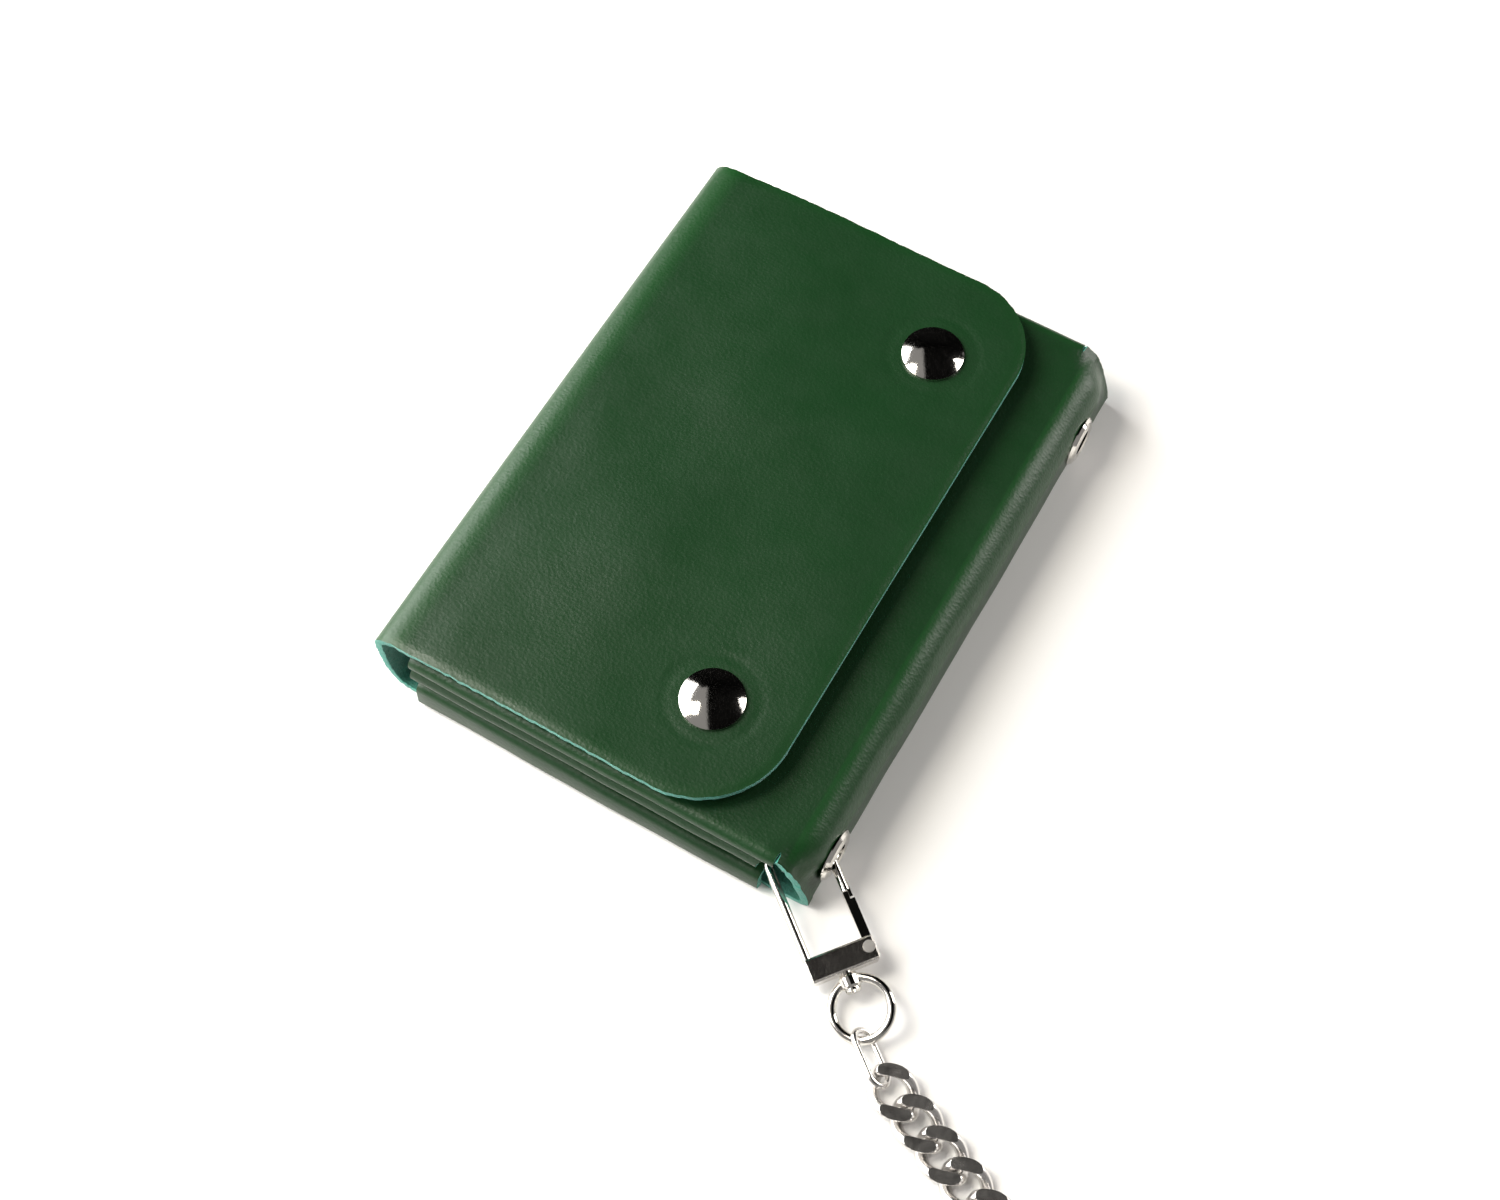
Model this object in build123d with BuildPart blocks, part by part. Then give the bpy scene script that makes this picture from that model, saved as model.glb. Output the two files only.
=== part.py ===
from build123d import *
import math
import os

os.makedirs("parts", exist_ok=True)

# Driving dimensions, millimetres. The wallet lies on its back panel: +X from the spine to the
# wall with the eyelets, +Y along the spine, +Z up, origin under the middle of the wallet.

LEATHER = 1.5
HALF_LEATHER = LEATHER / 2
WALLET_LENGTH = 122.0
HALF_LENGTH = WALLET_LENGTH / 2
RIGHT_FACE = 46.5
PANEL_HALF_LENGTH = 59.0
FRONT_TOP = 15.7
FRONT_LEFT = -36.8
WALL_BOTTOM_BEND = 1.2
WALL_TOP_BEND = 4.5

# The two bends in the spine that the flap opens about.
SPINE_FOOT = (-38.2, HALF_LEATHER)
SPINE_BULGE = (-43.4, 10.0)
SPINE_HEAD = (-43.0, 19.05)
BEND_GAP = 0.05

FLAP_RIGHT = 32.0
FLAP_CORNER = 17.8

# Folds at the short ends: where they start and stop along X, and the two profiles in Y and Z.
FRONT_FOLD_X = (-40.0, 39.5)
BACK_FOLD_X = (-36.2, 36.9)
BACK_FOLD_TRIM_X = 33.5
FRONT_FOLD = [(59.0, 14.95), (61.0, 14.95), (62.3, 9.2), (56.5, 9.2)]
FRONT_FOLD_RADII = [1.3, 0.95]
BACK_FOLD = [(59.0, 0.75), (61.1, 0.75), (61.7, 6.6), (57.5, 6.6)]
BACK_FOLD_RADII = [1.2, 0.95]

DIVIDER_SIZE = (74.0, 112.0, 1.0)
DIVIDER_X = 1.0

SNAP_X = 15.8
SNAP_Y = 41.65
CAP_RADIUS = 6.0
CAP_HEIGHT = 1.9
CAP_RIM = 0.55
CAP_POST_RADIUS = 1.35
SOCKET_RADIUS = 5.2
SOCKET_BORE = 2.7
SOCKET_BASE = FRONT_TOP + 0.65
SOCKET_WEB = 0.5
STUD_RADIUS = 4.25
STUD_PLATE = 0.55
STUD_HEAD_RADIUS = 1.9
STUD_TOP = FRONT_TOP + 1.7
SNAP_HOLE = 1.5

EYELETS_Y = (-51.9, 46.2)
EYELET_Z = 6.6
EYELET_INNER = 2.6
EYELET_BARREL = 3.0
EYELET_OUTER = 5.1
EYELET_DOME = 1.1
WASHER_RADIUS = 3.55
WASHER_THICKNESS = 0.5

# The swivel hook, in its own plane: X along the hook from its eyelet, Y across it, Z its thickness.
HOOK_WIRE = 0.85
HOOK_HALF_WIDTH = 5.6
HOOK_END = -3.9
HOOK_CORNER = 2.6
NOSE_END = 6.9
NOSE_LAP_END = 8.3
BLOCK_START = 16.0
BLOCK_END = 20.4
BLOCK_HALF_WIDTH = 6.5
BLOCK_HALF_THICKNESS = 2.0
GATE_PIVOT = (17.9, 5.2)
GATE_EYE = 1.2
GATE_HALF_THICKNESS = 0.85
RIVET_RADIUS = 0.58
RIVET_HEAD = 1.1
SPRING_WIRE = 0.14
SPRING_COIL = 0.86
POST_RADIUS = 0.9
POST_HEAD = 1.5
POST_START = 17.8
BOSS_START = 20.7
BOSS_END = 23.3
BOSS_RADIUS = 1.9
BOSS_BORE = 0.96
RING_CENTRE = 27.2
RING_RADIUS = 5.4
RING_WIRE = 0.85
LINK_WIRE = 0.6
LINK_HALF_LENGTH = 5.2
LINK_HALF_WIDTH = 2.1
LINK_LEAN = 50.0
RING_PLAY = 0.5
CHAIN_PLAY = 0.7

HOOK_HEADING = -38.0
HOOK_SLOPE = -5.0
HOOK_Z = 5.6
RING_ROLL = 20.0

# The curb chain: flat ground links, laid along a straight run and one round turn.
CHAIN_WIRE = 1.15
CHAIN_HALF_LENGTH = 4.55
CHAIN_HALF_WIDTH = 3.5
CHAIN_TWIST = 50.0
CHAIN_HALF_THICKNESS = 1.6
CHAIN_PITCH = 6.57
CHAIN_LINKS = 41
CHAIN_HEADING = -23.0
CHAIN_STRAIGHT = 40.1
OUTER_TURN = (46.0, 180.0)
INNER_TURN = (36.0, 150.0)
END_LINK_LIFTS = (0.6, 0.35, 0.12)
CHAIN_NODES = 4

# The two oval links that join the chain to the hooks' rings, and the hook at the far end.
NEAR_RING_ANGLE = -20.0
NEAR_LINK_HEADING = -38.0
FAR_LINK_HEADING = 25.5
FAR_HOOK_HEADING = 178.5
FAR_HOOK_SLOPE = 2.4
FAR_RING_Z = 2.97


def write(built, name):
    """Labels a finished piece and writes it under its own name."""
    built.part.label = name
    export_step(built.part, f"parts/{name}.step")


def strip(points, radii, span, side=1):
    """A leather strip of even thickness along X, bent to a profile of Y and Z points."""
    low, high = span
    with BuildPart() as bent:
        with BuildSketch(Plane.YZ.offset(low)):
            with BuildLine():
                FilletPolyline([(side * y, z) for y, z in points], radius=radii)
            trace(line_width=LEATHER)
        extrude(amount=high - low)
    return bent.part


def ring_at(plane, radius, wire):
    """A closed round ring lying in a plane."""
    with BuildPart() as ring:
        with BuildSketch(Plane(plane.origin, x_dir=plane.x_dir, z_dir=-plane.y_dir)):
            with Locations((radius, 0)):
                Circle(wire)
        revolve(axis=Axis(plane.origin, plane.z_dir))
    return ring.part


def oval_link(plane, half_length, half_width, wire):
    """A closed link of two straight bars and two round ends, lying in a plane."""
    straight = half_length - half_width
    corners = [
        (-straight, -half_width),
        (straight, -half_width),
        (straight, half_width),
        (-straight, half_width),
    ]
    with BuildPart() as link:
        with BuildLine(plane) as loop:
            first = Line(corners[0], corners[1])
            second = JernArc(first @ 1, first % 1, half_width, 180)
            third = Line(second @ 1, corners[3])
            JernArc(third @ 1, third % 1, half_width, 180)
        with BuildSketch(Plane(first @ 0, z_dir=first % 0)):
            Circle(wire)
        sweep(path=loop.wires()[0])
    return link.part


# ---------------------------------------------------------------- leather

eyelet_plane = Plane((RIGHT_FACE, 0, EYELET_Z), x_dir=(0, 1, 0), z_dir=(1, 0, 0))

with BuildPart() as main_panel:
    with BuildSketch(Plane.XZ.offset(-PANEL_HALF_LENGTH)):
        with BuildLine():
            wall = RIGHT_FACE - HALF_LEATHER
            front = FRONT_TOP - HALF_LEATHER
            FilletPolyline(
                (SPINE_FOOT[0] + HALF_LEATHER + BEND_GAP, HALF_LEATHER),
                (wall, HALF_LEATHER),
                (wall, front),
                (FRONT_LEFT, front),
                radius=[WALL_BOTTOM_BEND, WALL_TOP_BEND],
            )
        trace(line_width=LEATHER)
    extrude(amount=2 * PANEL_HALF_LENGTH)
    with BuildSketch(Plane.XY.offset(FRONT_TOP)):
        with Locations((SNAP_X, SNAP_Y), (SNAP_X, -SNAP_Y)):
            Circle(SNAP_HOLE)
    extrude(amount=-2 * LEATHER, mode=Mode.SUBTRACT)
    with BuildSketch(eyelet_plane):
        with Locations(*[(y, 0) for y in EYELETS_Y]):
            Circle(EYELET_BARREL + BEND_GAP)
    extrude(amount=-2 * LEATHER, mode=Mode.SUBTRACT)
    # The wall runs on past the folds, to the full length of the wallet.
    for end in (-1, 1):
        with BuildSketch(Plane.XZ.offset(-end * PANEL_HALF_LENGTH)):
            with BuildLine():
                FilletPolyline(
                    (BACK_FOLD_X[1] + 1.0, HALF_LEATHER),
                    (wall, HALF_LEATHER),
                    (wall, front),
                    (FRONT_FOLD_X[1] + 1.0, front),
                    radius=[WALL_BOTTOM_BEND, WALL_TOP_BEND],
                )
            trace(line_width=LEATHER)
        extrude(amount=-end * (HALF_LENGTH - PANEL_HALF_LENGTH))
write(main_panel, "main_panel")

with BuildPart() as front_side_folds:
    for end in (-1, 1):
        add(strip(FRONT_FOLD, FRONT_FOLD_RADII, FRONT_FOLD_X, end))
write(front_side_folds, "front_side_folds")

with BuildPart() as back_side_folds:
    for end in (-1, 1):
        add(strip(BACK_FOLD, BACK_FOLD_RADII, BACK_FOLD_X, end))
    # The turned-in edge stops short of the corners, where the hook passes.
    with BuildSketch(Plane.XY.offset(LEATHER + 0.6)):
        with Locations(((BACK_FOLD_TRIM_X + BACK_FOLD_X[1]) / 2 + 0.5, 0)):
            Rectangle(BACK_FOLD_X[1] - BACK_FOLD_TRIM_X + 1.0, 2 * 60.2)
    extrude(amount=FRONT_TOP, mode=Mode.SUBTRACT)
write(back_side_folds, "back_side_folds")

with BuildPart() as card_divider:
    with BuildSketch(Plane.XY.offset(LEATHER + 0.05)):
        with Locations((DIVIDER_X, 0)):
            RectangleRounded(DIVIDER_SIZE[0], DIVIDER_SIZE[1], 4.0)
    extrude(amount=DIVIDER_SIZE[2])
write(card_divider, "card_divider")

with BuildPart() as spine_panel:
    with BuildSketch(Plane.XZ.offset(-HALF_LENGTH)):
        with BuildLine():
            ThreePointArc(SPINE_FOOT, SPINE_BULGE, SPINE_HEAD)
        trace(line_width=LEATHER)
        with Locations(SPINE_FOOT, SPINE_HEAD):
            Circle(HALF_LEATHER)
    extrude(amount=WALLET_LENGTH)
write(spine_panel, "spine_panel")

flap_left = SPINE_HEAD[0] + HALF_LEATHER + BEND_GAP
flap_base = SPINE_HEAD[1] - HALF_LEATHER
flap_top = SPINE_HEAD[1] + HALF_LEATHER
with BuildPart() as flap_panel:
    with BuildSketch(Plane.XY.offset(flap_base)) as flap_outline:
        with Locations(((flap_left + FLAP_RIGHT) / 2, 0)):
            Rectangle(FLAP_RIGHT - flap_left, WALLET_LENGTH)
        fillet(flap_outline.vertices().group_by(Axis.X)[-1], FLAP_CORNER)
        with Locations((SNAP_X, SNAP_Y), (SNAP_X, -SNAP_Y)):
            Circle(SNAP_HOLE, mode=Mode.SUBTRACT)
    extrude(amount=LEATHER)
write(flap_panel, "flap_panel")

# ---------------------------------------------------------------- snaps


def turned_pair(outline):
    """Two solids of revolution, one at each snap, from a closed outline of radius and height."""
    with BuildPart() as pair:
        for side in (-1, 1):
            with BuildSketch(Plane.XZ.offset(-side * SNAP_Y)):
                with BuildLine():
                    Polyline([(SNAP_X + r, z) for r, z in outline], close=True)
                make_face()
            revolve(axis=Axis((SNAP_X, side * SNAP_Y, 0), (0, 0, 1)))
    return pair


with BuildPart() as snap_caps:
    for side in (-1, 1):
        with BuildSketch(Plane.XZ.offset(-side * SNAP_Y)):
            with BuildLine():
                rim = Line((SNAP_X + CAP_RADIUS, flap_top), (SNAP_X + CAP_RADIUS, flap_top + CAP_RIM))
                crown = (SNAP_X, flap_top + CAP_HEIGHT)
                TangentArc(crown, rim @ 1, tangent=(1, 0))
                foot = flap_base - SOCKET_WEB
                Polyline(
                    crown,
                    (SNAP_X, foot - 0.2),
                    (SNAP_X + 1.7, foot - 0.2),
                    (SNAP_X + 1.7, foot),
                    (SNAP_X + CAP_POST_RADIUS, foot),
                    (SNAP_X + CAP_POST_RADIUS, flap_top),
                    rim @ 0,
                )
            make_face()
        revolve(axis=Axis((SNAP_X, side * SNAP_Y, 0), (0, 0, 1)))
write(snap_caps, "snap_caps")

snap_sockets = turned_pair(
    [
        (SOCKET_BORE, SOCKET_BASE),
        (SOCKET_RADIUS - 0.9, SOCKET_BASE),
        (SOCKET_RADIUS - 0.9, flap_base - SOCKET_WEB),
        (SOCKET_RADIUS, flap_base - SOCKET_WEB),
        (SOCKET_RADIUS, flap_base),
        (CAP_POST_RADIUS + 0.05, flap_base),
        (CAP_POST_RADIUS + 0.05, flap_base - SOCKET_WEB),
        (SOCKET_BORE, flap_base - SOCKET_WEB),
    ]
)
write(snap_sockets, "snap_sockets")

with BuildPart() as snap_spring_rings:
    for side in (-1, 1):
        centre = (SNAP_X, side * SNAP_Y, SOCKET_BASE + 0.35)
        add(ring_at(Plane(centre), SOCKET_BORE - 0.27, 0.25))
write(snap_spring_rings, "snap_spring_rings")

snap_studs = turned_pair(
    [
        (1.2, FRONT_TOP),
        (STUD_RADIUS, FRONT_TOP),
        (STUD_RADIUS, FRONT_TOP + STUD_PLATE),
        (1.6, FRONT_TOP + STUD_PLATE),
        (1.6, FRONT_TOP + STUD_PLATE + 0.1),
        (STUD_HEAD_RADIUS, STUD_TOP - 0.35),
        (STUD_HEAD_RADIUS - 0.3, STUD_TOP),
        (1.2, STUD_TOP),
    ]
)
write(snap_studs, "snap_studs")

front_under = FRONT_TOP - LEATHER
snap_stud_rivets = turned_pair(
    [
        (0.7, front_under - 0.5),
        (STUD_RADIUS, front_under - 0.5),
        (STUD_RADIUS, front_under),
        (1.15, front_under),
        (1.15, STUD_TOP - 0.1),
        (0.7, STUD_TOP - 0.1),
    ]
)
write(snap_stud_rivets, "snap_stud_rivets")

# ---------------------------------------------------------------- eyelets


def eyelet_pair(outline):
    """Two turned solids, one at each eyelet, from an outline of height outwards and radius."""
    with BuildPart() as pair:
        for place in EYELETS_Y:
            with BuildSketch(Plane.XY.offset(EYELET_Z)):
                with BuildLine():
                    Polyline([(RIGHT_FACE + h, place + r) for h, r in outline], close=True)
                make_face()
            revolve(axis=Axis((RIGHT_FACE, place, EYELET_Z), (1, 0, 0)))
    return pair


eyelets = eyelet_pair(
    [
        (-2.1, EYELET_INNER),
        (0.75 * EYELET_DOME, EYELET_INNER),
        (EYELET_DOME, EYELET_INNER + 0.5),
        (EYELET_DOME, EYELET_INNER + 1.1),
        (0.7 * EYELET_DOME, EYELET_OUTER - 0.5),
        (0.2, EYELET_OUTER),
        (0, EYELET_OUTER),
        (0, EYELET_BARREL),
        (-2.1, EYELET_BARREL),
    ]
)
write(eyelets, "eyelets")

eyelet_washers = eyelet_pair(
    [
        (-LEATHER - WASHER_THICKNESS, EYELET_BARREL + 0.02),
        (-LEATHER, EYELET_BARREL + 0.02),
        (-LEATHER, WASHER_RADIUS),
        (-LEATHER - 0.2, WASHER_RADIUS),
        (-LEATHER - WASHER_THICKNESS, WASHER_RADIUS - 0.2),
    ]
)
write(eyelet_washers, "eyelet_washers")

# ---------------------------------------------------------------- swivel hooks


def turned(plane, points):
    """A solid of revolution about a plane's X axis, from points of distance along it and radius."""
    with BuildPart() as solid:
        with BuildSketch(plane):
            with BuildLine():
                Polyline(points, close=True)
            make_face()
        revolve(axis=Axis(plane.origin, plane.x_dir))
    return solid


def swivel_hook(plane, prefix, ring_roll):
    """A snap hook with its gate and its swivelling ring, built in its own plane."""
    edge = HOOK_HALF_WIDTH
    with BuildPart() as frame:
        with BuildLine(plane) as path:
            FilletPolyline(
                (BLOCK_START, -edge),
                (HOOK_END, -edge),
                (HOOK_END, edge),
                (NOSE_END, edge),
                radius=HOOK_CORNER,
            )
        with BuildSketch(Plane(path.line @ 0, z_dir=path.line % 0)):
            Circle(HOOK_WIRE)
        sweep()
        with BuildSketch(plane.offset(-0.6)):
            with Locations(((NOSE_END + NOSE_LAP_END) / 2 - 0.3, edge + 0.42)):
                Rectangle(NOSE_LAP_END - NOSE_END + 0.6, 0.6)
        extrude(amount=1.2)
    write(frame, prefix + "_frame")

    pivot = GATE_PIVOT
    with BuildPart() as block:
        with BuildSketch(plane.offset(-BLOCK_HALF_THICKNESS)):
            with Locations(((BLOCK_START + BLOCK_END) / 2, 0)):
                Rectangle(BLOCK_END - BLOCK_START, 2 * BLOCK_HALF_WIDTH)
        extrude(amount=2 * BLOCK_HALF_THICKNESS)
        chamfer(block.edges(), 0.35)
        with BuildSketch(plane.offset(-GATE_HALF_THICKNESS - 0.1)):
            with Locations(((BLOCK_START - 1 + BLOCK_END - 0.6) / 2, 4.9)):
                Rectangle(BLOCK_END - BLOCK_START + 0.4, 4.6)
        extrude(amount=2 * GATE_HALF_THICKNESS + 0.2, mode=Mode.SUBTRACT)
        with BuildSketch(plane.offset(-BLOCK_HALF_THICKNESS)):
            with Locations(pivot):
                Circle(RIVET_RADIUS + 0.02)
        extrude(amount=2 * BLOCK_HALF_THICKNESS, mode=Mode.SUBTRACT)
        with BuildSketch(Plane(plane.from_local_coords((POST_START, 0, 0)), z_dir=plane.x_dir)):
            Circle(POST_RADIUS + 0.02)
        extrude(amount=BLOCK_END - POST_START, mode=Mode.SUBTRACT)
    write(block, prefix + "_block")

    with BuildPart() as gate:
        with BuildSketch(plane.offset(-GATE_HALF_THICKNESS)):
            with Locations(((NOSE_END + 0.3 + pivot[0]) / 2, edge)):
                Rectangle(pivot[0] - NOSE_END - 0.3, 2 * HOOK_WIRE)
            with Locations(pivot):
                Circle(GATE_EYE)
            with Locations((NOSE_END + 0.95, edge + 0.8)):
                Rectangle(1.7, 1.5, mode=Mode.SUBTRACT)
        extrude(amount=2 * GATE_HALF_THICKNESS)
        # The eye is thinned on one side to leave room for the spring's coil.
        with BuildSketch(plane.offset(0.15)):
            with Locations(pivot):
                Circle(GATE_EYE + 0.3)
        extrude(amount=GATE_HALF_THICKNESS, mode=Mode.SUBTRACT)
        with BuildSketch(plane.offset(-GATE_HALF_THICKNESS)):
            with Locations(pivot):
                Circle(RIVET_RADIUS + 0.05)
        extrude(amount=2 * GATE_HALF_THICKNESS, mode=Mode.SUBTRACT)
    write(gate, prefix + "_gate")

    with BuildPart() as spring:
        for turn in range(2):
            centre = plane.from_local_coords((pivot[0], pivot[1], 0.34 + 0.3 * turn))
            coil_plane = Plane(centre, x_dir=plane.x_dir, z_dir=plane.z_dir)
            add(ring_at(coil_plane, SPRING_COIL, SPRING_WIRE + 0.01))
    write(spring, prefix + "_gate_spring")

    with BuildPart() as rivet:
        with BuildSketch(plane.offset(-BLOCK_HALF_THICKNESS)):
            with Locations(pivot):
                Circle(RIVET_RADIUS)
        extrude(amount=2 * BLOCK_HALF_THICKNESS)
        for side in (-1, 1):
            with BuildSketch(plane.offset(side * BLOCK_HALF_THICKNESS)):
                with Locations(pivot):
                    Circle(RIVET_HEAD)
            extrude(amount=side * 0.25)
    write(rivet, prefix + "_gate_rivet")

    post = turned(
        plane,
        [
            (POST_START, 0),
            (POST_START, POST_RADIUS),
            (BOSS_END + 0.1, POST_RADIUS),
            (BOSS_END + 0.1, POST_HEAD),
            (BOSS_END + 0.5, POST_HEAD),
            (BOSS_END + 0.9, POST_HEAD - 0.5),
            (BOSS_END + 0.9, 0),
        ],
    )
    write(post, prefix + "_swivel_post")

    roll = math.radians(ring_roll)
    ring_plane = Plane(
        plane.from_local_coords((RING_CENTRE, 0, 0)),
        x_dir=plane.x_dir,
        z_dir=plane.z_dir * math.cos(roll) - plane.y_dir * math.sin(roll),
    )
    boss = turned(
        plane,
        [
            (BOSS_START, 0),
            (BOSS_START, BOSS_RADIUS - 0.4),
            (BOSS_START + 0.6, BOSS_RADIUS),
            (BOSS_END - 0.4, BOSS_RADIUS),
            (BOSS_END, BOSS_RADIUS - 0.3),
            (BOSS_END, 0),
        ],
    )
    with BuildPart() as ring:
        add(ring_at(ring_plane, RING_RADIUS, RING_WIRE))
        add(boss.part)
        with BuildSketch(Plane(plane.from_local_coords((BOSS_START - 1, 0, 0)), z_dir=plane.x_dir)):
            Circle(BOSS_BORE)
        extrude(amount=BOSS_END - BOSS_START + 2, mode=Mode.SUBTRACT)
    write(ring, prefix + "_swivel_ring")


def flat_plane(origin, heading, slope):
    """A plane whose X axis points along a heading on the ground, tipped down by a slope."""
    turn, tip = math.radians(heading), math.radians(slope)
    along = Vector(math.cos(turn) * math.cos(tip), math.sin(turn) * math.cos(tip), math.sin(tip))
    across = Vector(-math.sin(turn), math.cos(turn), 0)
    return Plane(origin, x_dir=along, z_dir=along.cross(across))


wall_middle = RIGHT_FACE - 0.55
level = flat_plane((wall_middle, EYELETS_Y[0], HOOK_Z), HOOK_HEADING, HOOK_SLOPE)
near_plane = Plane(level.from_local_coords((0, -HOOK_HALF_WIDTH, 0)), x_dir=level.x_dir, z_dir=level.z_dir)
swivel_hook(near_plane, "wallet_hook", RING_ROLL)

# ---------------------------------------------------------------- chain


def heading(degrees):
    """A unit vector on the ground."""
    return Vector(math.cos(math.radians(degrees)), math.sin(math.radians(degrees)), 0)


def connector_link(ring_point, chain_point, lean, name):
    """An oval link round a hook's ring and the end of the chain, leaning over to one side."""
    along = (chain_point - ring_point).normalized()
    side = Vector(0, 0, 1).cross(along).normalized()
    upward = along.cross(side)
    across = upward * math.cos(math.radians(lean)) - side * math.sin(math.radians(lean))
    centre = ring_point + along * (LINK_HALF_LENGTH - LINK_WIRE - RING_WIRE - RING_PLAY)
    plane = Plane(centre, x_dir=along, z_dir=along.cross(across))
    with BuildPart() as link:
        add(oval_link(plane, LINK_HALF_LENGTH, LINK_HALF_WIDTH, LINK_WIRE))
    write(link, name)


link_reach = 2 * (LINK_HALF_LENGTH - LINK_WIRE) - RING_WIRE - CHAIN_WIRE - RING_PLAY - CHAIN_PLAY
ring_angle = math.radians(NEAR_RING_ANGLE)
ring_roll = math.radians(RING_ROLL)
near_ring_point = near_plane.from_local_coords(
    (
        RING_CENTRE + RING_RADIUS * math.cos(ring_angle),
        RING_RADIUS * math.sin(ring_angle) * math.cos(ring_roll),
        RING_RADIUS * math.sin(ring_angle) * math.sin(ring_roll),
    )
)
chain_end_z = CHAIN_HALF_THICKNESS + END_LINK_LIFTS[0]
near_chain_point = near_ring_point + heading(NEAR_LINK_HEADING) * link_reach
near_chain_point.Z = chain_end_z
connector_link(near_ring_point, near_chain_point, LINK_LEAN, "near_connector_link")

chain_start = near_chain_point + heading(CHAIN_HEADING) * CHAIN_HALF_LENGTH
route_origin = (chain_start.X, chain_start.Y, CHAIN_HALF_THICKNESS)
with BuildLine(Plane(route_origin, x_dir=(1, 0, 0), z_dir=(0, 0, 1))) as route:
    run = PolarLine((0, 0), CHAIN_STRAIGHT, CHAIN_HEADING)
    outer = JernArc(run @ 1, run % 1, OUTER_TURN[0], -OUTER_TURN[1])
    JernArc(outer @ 1, outer % 1, INNER_TURN[0], -INNER_TURN[1])
route_wire = route.wires()[0]


def curb_corners(count=6, swell=1.035):
    """Corners of half a twisted oval, from one end of a curb link round to the other end."""
    corners = []
    for step in range(count):
        angle = math.pi * (step + 0.5) / count
        lean = -math.radians(CHAIN_TWIST) * math.cos(angle)
        across = CHAIN_HALF_WIDTH * math.sin(angle) * swell
        along = CHAIN_HALF_LENGTH * math.cos(angle) * swell
        corners.append(Vector(along, across * math.cos(lean), across * math.sin(lean)))
    return corners


def half_loop(corners):
    """Half a link's loop as points and corner radii, starting and ending on its long axis."""
    points = [Vector(corners[0].X, 0, 0), *corners, Vector(corners[-1].X, 0, 0)]
    radii = []
    for here, corner in enumerate(corners, start=1):
        before = corner - points[here - 1]
        after = points[here + 1] - corner
        room = min(
            before.length * (1.0 if here == 1 else 0.5),
            after.length * (1.0 if here == len(corners) else 0.5),
        )
        radii.append(0.9 * room / math.tan(math.radians(before.get_angle(after) / 2)))
    return points, radii


loop_points, loop_radii = half_loop(curb_corners())
with BuildPart() as curb_link:
    with BuildLine() as loop:
        FilletPolyline(loop_points, radius=loop_radii)
    with BuildSketch(Plane(loop.line @ 0, z_dir=loop.line % 0)):
        Circle(CHAIN_WIRE)
    half = sweep()
    add(half.rotate(Axis.X, 180))
    with BuildSketch(Plane.XY.offset(-CHAIN_HALF_THICKNESS)):
        Rectangle(4 * CHAIN_HALF_LENGTH, 4 * CHAIN_HALF_WIDTH)
    extrude(amount=2 * CHAIN_HALF_THICKNESS, mode=Mode.INTERSECT)


def link_plane(index):
    """The plane of one chain link: along the route, and raised a little at the chain's two ends."""
    distance = index * CHAIN_PITCH
    place = route_wire.position_at(distance, position_mode=PositionMode.LENGTH)
    tangent = route_wire.tangent_at(distance, position_mode=PositionMode.LENGTH)
    from_end = min(index, CHAIN_LINKS - 1 - index)
    lift = END_LINK_LIFTS[from_end] if from_end < len(END_LINK_LIFTS) else 0.0
    return Plane(place + Vector(0, 0, lift), x_dir=tangent, z_dir=(0, 0, 1))


for node in range(CHAIN_NODES):
    with BuildPart() as chain_links:
        first = node * CHAIN_LINKS // CHAIN_NODES
        for index in range(first, (node + 1) * CHAIN_LINKS // CHAIN_NODES):
            add(curb_link.part.moved(link_plane(index).location))
    write(chain_links, f"chain_links_{node + 1}")

last_plane = link_plane(CHAIN_LINKS - 1)
far_chain_point = last_plane.from_local_coords((CHAIN_HALF_LENGTH, 0, 0))
far_slope = math.sin(math.radians(FAR_HOOK_SLOPE))
far_ring_point = far_chain_point + heading(FAR_LINK_HEADING) * link_reach
far_ring_point.Z = FAR_RING_Z + RING_RADIUS * far_slope
connector_link(far_ring_point, far_chain_point, LINK_LEAN, "far_connector_link")

far_level = flat_plane((0, 0, 0), FAR_HOOK_HEADING, FAR_HOOK_SLOPE)
far_origin = far_ring_point - far_level.x_dir * (RING_CENTRE + RING_RADIUS)
far_plane = Plane(far_origin, x_dir=far_level.x_dir, z_dir=far_level.z_dir)
swivel_hook(far_plane, "belt_hook", RING_ROLL)
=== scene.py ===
import bpy
import bmesh
import math
import random
from mathutils import Matrix, Vector, noise


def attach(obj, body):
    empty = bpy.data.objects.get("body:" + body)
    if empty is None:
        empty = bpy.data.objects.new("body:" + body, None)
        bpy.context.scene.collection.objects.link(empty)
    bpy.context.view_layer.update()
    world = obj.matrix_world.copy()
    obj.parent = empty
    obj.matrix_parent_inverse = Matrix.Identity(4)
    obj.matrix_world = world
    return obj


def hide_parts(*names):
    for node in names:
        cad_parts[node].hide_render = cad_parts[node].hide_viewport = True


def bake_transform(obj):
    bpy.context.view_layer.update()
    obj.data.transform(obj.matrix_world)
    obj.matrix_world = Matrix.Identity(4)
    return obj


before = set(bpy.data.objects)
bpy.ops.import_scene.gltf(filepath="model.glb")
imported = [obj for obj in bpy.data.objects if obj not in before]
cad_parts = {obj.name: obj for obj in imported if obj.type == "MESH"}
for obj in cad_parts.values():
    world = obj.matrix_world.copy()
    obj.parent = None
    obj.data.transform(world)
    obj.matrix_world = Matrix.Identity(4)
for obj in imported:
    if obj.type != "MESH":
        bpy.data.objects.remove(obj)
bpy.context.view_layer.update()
scene = bpy.context.scene
MM = 0.001
rng = random.Random(7)


def clamp(value, low, high):
    return max(low, min(high, value))


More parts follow.
